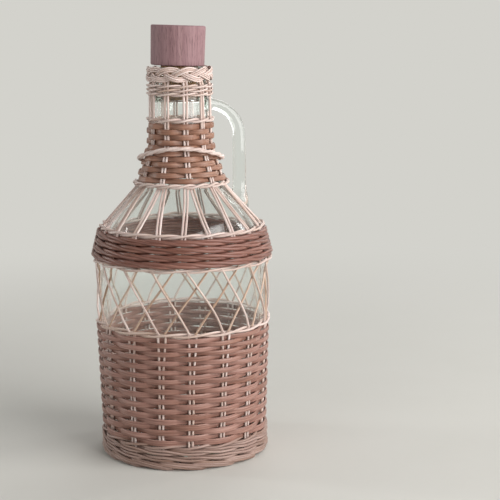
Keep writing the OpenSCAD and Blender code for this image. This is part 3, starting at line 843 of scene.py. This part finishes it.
def handle():
    """A glass loop that is thicker at its leg and spreads into the neck and the shoulder."""
    bend_x = HANDLE_X - HANDLE_BEND
    bend_z = HANDLE_Z - HANDLE_BEND
    root = np.array([[x, HANDLE_Z] for x in np.linspace(HANDLE_ROOT_X, bend_x, 12)])
    t = np.radians(np.linspace(90, 0, 46))[1:]
    turn = np.stack([bend_x + HANDLE_BEND * np.cos(t), bend_z + HANDLE_BEND * np.sin(t)], axis=1)
    leg = np.array([[HANDLE_X, z] for z in np.linspace(bend_z, HANDLE_FOOT_Z, 72)[1:]])
    line = np.concatenate([root, turn, leg])
    path = np.stack([line[:, 0], np.zeros(len(line)), line[:, 1]], axis=1)
    length = np.concatenate([[0], np.cumsum(np.linalg.norm(np.diff(path, axis=0), axis=1))])
    share = length / length[-1]
    thicker = smooth((share - 0.15) / 0.4)
    out = 4.3 + 0.9 * thicker
    side = 4.1 + 0.3 * thicker
    near_neck = np.exp(-np.clip(path[:, 0] - HANDLE_NECK_X, 0, None) / 3.2) * 2.0
    above_cone = path[:, 2] - np.interp(HANDLE_X, (NECK_BASE_R, BODY_R), (NECK_BASE_Z, SHOULDER_Z))
    near_cone = np.exp(-np.clip(above_cone - 3, 0, None) / 5.0) * 1.8 * (share > 0.5)
    rods = Rods()
    across = side + near_neck + 0.9 * near_cone
    rods.add(path, out + near_neck + near_cone, across, boxy=2.2, sides=56, normal=inward(path))
    mesh = bpy.data.meshes.new("handle")
    mesh.from_pydata((np.concatenate(rods.points) * MM).tolist(), [], rods.faces)
    return bpy.data.objects.new("handle", mesh)


def inward(path):
    """The direction in the handle's plane that is square to its path."""
    along = np.gradient(path, axis=0)
    return np.stack([-along[:, 2], np.zeros(len(path)), along[:, 0]], axis=1)


def combined(first, others):
    """The mesh of one solid after union with or difference from others."""
    for other, operation in others:
        bpy.context.scene.collection.objects.link(other)
        step = first.modifiers.new(operation, "BOOLEAN")
        step.object = other
        step.operation = operation
        step.solver = "EXACT"
    bpy.context.scene.collection.objects.link(first)
    bpy.context.view_layer.update()
    mesh = bpy.data.meshes.new_from_object(first.evaluated_get(bpy.context.evaluated_depsgraph_get()))
    for tool in [first] + [other for other, _ in others]:
        bpy.data.objects.remove(tool)
    return mesh


def glass_jug():
    """The hollow glass with its handle, as one solid."""
    outer = rounded([(0, GLASS_Z, 0)] + SIDE + MOUTH[:2] + [(0, LIP_Z, 0)], 12)
    inner = rounded([
        (0, GLASS_Z + FLOOR, 0), (FOOT_R - WALL, GLASS_Z + FLOOR, 7), (BODY_R - WALL, BELLY_Z, 60),
        (BODY_R - WALL, SHOULDER_Z - 1.3, 56), (NECK_BASE_R - WALL, NECK_BASE_Z - 2.1, 14),
        (NECK_R - WALL, FLARE_Z - 0.4, 30), (NECK_TOP_R - WALL, LIP_Z - BORE_L - 6, 2),
        (BORE_R, LIP_Z - BORE_L, 2), (BORE_R, LIP_Z + 1, 0), (0, LIP_Z + 1, 0),
    ], 12)
    body = lathe("jug_solid", fine(outer))
    cavity = lathe("jug_cavity", fine(inner))
    mesh = combined(body, [(handle(), "UNION"), (cavity, "DIFFERENCE")])
    mesh.shade_smooth()
    mesh.materials.clear()
    jug = place("moulded_glass", mesh, "glass_jug", GLASS)
    # Lamps shine through clear glass onto the willow behind it
    jug.visible_shadow = False


def stopper():
    """The turned head leans a little on its cork, which keeps its CAD shape."""
    tip = math.radians(HEAD_LEAN)
    head_z = TOTAL_H - HEAD_H * math.cos(tip) - (HEAD_TOP_R - HEAD_EDGE) * math.sin(tip)
    outline = rounded([(0, 0, 0), (HEAD_LOW_R, 0, 1.1), (HEAD_TOP_R, HEAD_H, 1.2), (0, HEAD_H, 0)], 6)
    head = lathe("head", fine(outline, 2.5), 128)
    lean = Matrix.Rotation(math.radians(LEAN_SIDE), 4, "Z") @ Matrix.Rotation(tip, 4, "Y")
    mesh = head.data
    foot = polar(-HEAD_SHIFT, LEAN_SIDE, head_z) * MM
    mesh.transform(Matrix.Translation(foot.tolist()) @ lean)
    bpy.data.objects.remove(head)
    mesh.shade_smooth()
    place("turned_head", mesh, "stopper_head", WOOD, "stopper")
    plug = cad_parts["cork_plug"]
    for slot in plug.material_slots:
        slot.material = CORK


# Camera, floor and light


def camera():
    """The photograph's camera, found from the rings of the jug and turned by the handle's angle."""
    yaw = math.radians(CAMERA_YAW)
    pitch = math.radians(CAMERA_PITCH)
    roll = math.radians(CAMERA_ROLL)
    ahead = Vector((math.sin(yaw) * math.cos(pitch), math.cos(yaw) * math.cos(pitch), -math.sin(pitch)))
    right = Vector((math.cos(yaw), -math.sin(yaw), 0))
    up = right.cross(ahead)
    right, up = right * math.cos(roll) + up * math.sin(roll), up * math.cos(roll) - right * math.sin(roll)
    turn = Matrix((right, up, -ahead)).transposed().to_4x4()
    data = bpy.data.cameras.new("camera")
    data.sensor_width = 36.0
    data.lens = LENS
    view = bpy.data.objects.new("camera", data)
    bpy.context.scene.collection.objects.link(view)
    side = Matrix.Rotation(math.radians(CAMERA_SIDE), 4, "Z")
    view.matrix_world = side @ Matrix.Translation((0, -CAMERA_BACK, CAMERA_UP)) @ turn
    bpy.context.scene.camera = view


ROOM = srgb(211, 210, 204)


def area_light(name, spot, target, size, power, colour=(1, 1, 1), height=None):
    """A lamp that points at a target and isn't seen itself."""
    data = bpy.data.lights.new(name, "AREA")
    data.shape = "RECTANGLE"
    data.size = size
    data.size_y = height or size
    data.energy = power
    data.color = colour
    lamp = bpy.data.objects.new(name, data)
    lamp.visible_camera = False
    bpy.context.scene.collection.objects.link(lamp)
    lamp.location = spot
    lamp.rotation_euler = (Vector(target) - Vector(spot)).to_track_quat("-Z", "Y").to_euler()


def seen_rays(tree):
    """1 for rays from the camera and for what glass and gloss show, 0 for light on the object."""
    path = tree.nodes.new("ShaderNodeLightPath")
    total = path.outputs["Is Camera Ray"]
    for ray in ("Is Transmission Ray", "Is Glossy Ray"):
        either = tree.nodes.new("ShaderNodeMath")
        either.operation = "MAXIMUM"
        tree.links.new(total, either.inputs[0])
        tree.links.new(path.outputs[ray], either.inputs[1])
        total = either.outputs[0]
    return total


def floor():
    """A wide pale floor that fades into the pale room."""
    bpy.ops.mesh.primitive_circle_add(vertices=96, radius=8.0, fill_type="NGON")
    ground = bpy.context.object
    ground.name = "floor"
    s = Shader("floor")
    where = s.add("ShaderNodeTexCoord").outputs["Object"]
    s.set(s.surface, "Base Color", s.mix(s.noise(where, 9.0), srgb(209, 208, 202), srgb(214, 213, 208)))
    s.set(s.surface, "Roughness", 0.85)
    glow = s.add("ShaderNodeEmission", {"Color": ROOM, "Strength": 1.0})
    away = s.add("ShaderNodeVectorMath", {0: where}, operation="LENGTH").outputs["Value"]
    far = s.add("ShaderNodeMapRange", {"Value": away, "From Min": 0.25, "From Max": 0.95},
                interpolation_type="SMOOTHSTEP").outputs[0]
    share = s.add("ShaderNodeMath", {0: far, 1: seen_rays(s.tree)}, operation="MULTIPLY").outputs[0]
    both = s.add("ShaderNodeMixShader", {0: share, 1: s.surface.outputs[0], 2: glow.outputs[0]})
    s.set(s.out, "Surface", both.outputs[0])
    ground.data.materials.append(s.material)


def lamps():
    """Soft studio lamps, and two narrow ones that draw bright lines down the glass."""
    area_light("key", (1.05, -1.1, 0.8), (0, 0, 0.16), 1.6, 37.0, (1.0, 0.985, 0.97))
    area_light("fill", (-1.5, -1.2, 1.05), (0, 0, 0.15), 1.1, 4.5, (0.97, 0.98, 1.0))
    area_light("rim", (0.7, 1.4, 1.2), (0, 0, 0.2), 1.2, 9.0)
    area_light("left_line", (-1.1, 0.5, 0.45), (0.03, 0, 0.24), 0.14, 3.0, height=0.7)
    area_light("right_line", (1.15, 0.35, 0.45), (0.03, 0, 0.24), 0.12, 2.0, height=0.7)


def room():
    """A pale room, whose darker ceiling shows in the glass alone."""
    world = bpy.data.worlds.new("room")
    bpy.context.scene.world = world
    world.use_nodes = True
    tree = world.node_tree
    back = tree.nodes["Background"]
    back.inputs["Color"].default_value = ROOM
    back.inputs["Strength"].default_value = 0.28
    seen = tree.nodes.new("ShaderNodeBackground")
    direction = tree.nodes.new("ShaderNodeSeparateXYZ")
    ceiling = tree.nodes.new("ShaderNodeValToRGB")
    low, high = ceiling.color_ramp.elements
    low.position = 0.4
    low.color = ROOM
    high.position = 0.85
    high.color = srgb(138, 139, 136)
    tree.links.new(tree.nodes.new("ShaderNodeTexCoord").outputs["Generated"], direction.inputs[0])
    tree.links.new(direction.outputs["Z"], ceiling.inputs[0])
    tree.links.new(ceiling.outputs[0], seen.inputs["Color"])
    join = tree.nodes.new("ShaderNodeMixShader")
    tree.links.new(seen_rays(tree), join.inputs[0])
    tree.links.new(back.outputs[0], join.inputs[1])
    tree.links.new(seen.outputs[0], join.inputs[2])
    tree.links.new(join.outputs[0], tree.nodes["World Output"].inputs["Surface"])


def render_settings():
    """Plain colours, and enough bounces for light inside the roots of the glass handle."""
    scene = bpy.context.scene
    scene.view_settings.view_transform = "Standard"
    scene.cycles.max_bounces = 24
    scene.cycles.glossy_bounces = 24
    scene.cycles.transmission_bounces = 24


camera()
floor()
lamps()
room()
render_settings()
glass_jug()
stopper()
base()
foot_border()
foot_wale()
basket_stakes()
basket_strips(0, "basket_weave_a", "basket_strips_a")
basket_strips(1, "basket_weave_b", "basket_strips_b")
basket_top_ring()
lattice(-1, LEAN_LEFT, 1, PEELED, "lattice_left", "lattice_rods_left")
lattice(1, LEAN_RIGHT, 0, TAN, "lattice_right", "lattice_rods_right")
band()
shoulder_stakes()
neck_lower_ring()
neck_strips(0, "neck_weave_a", "neck_strips_a")
neck_strips(1, "neck_weave_b", "neck_strips_b")
neck_stakes()
neck_upper_ring()
collar()
plait()
hoop()
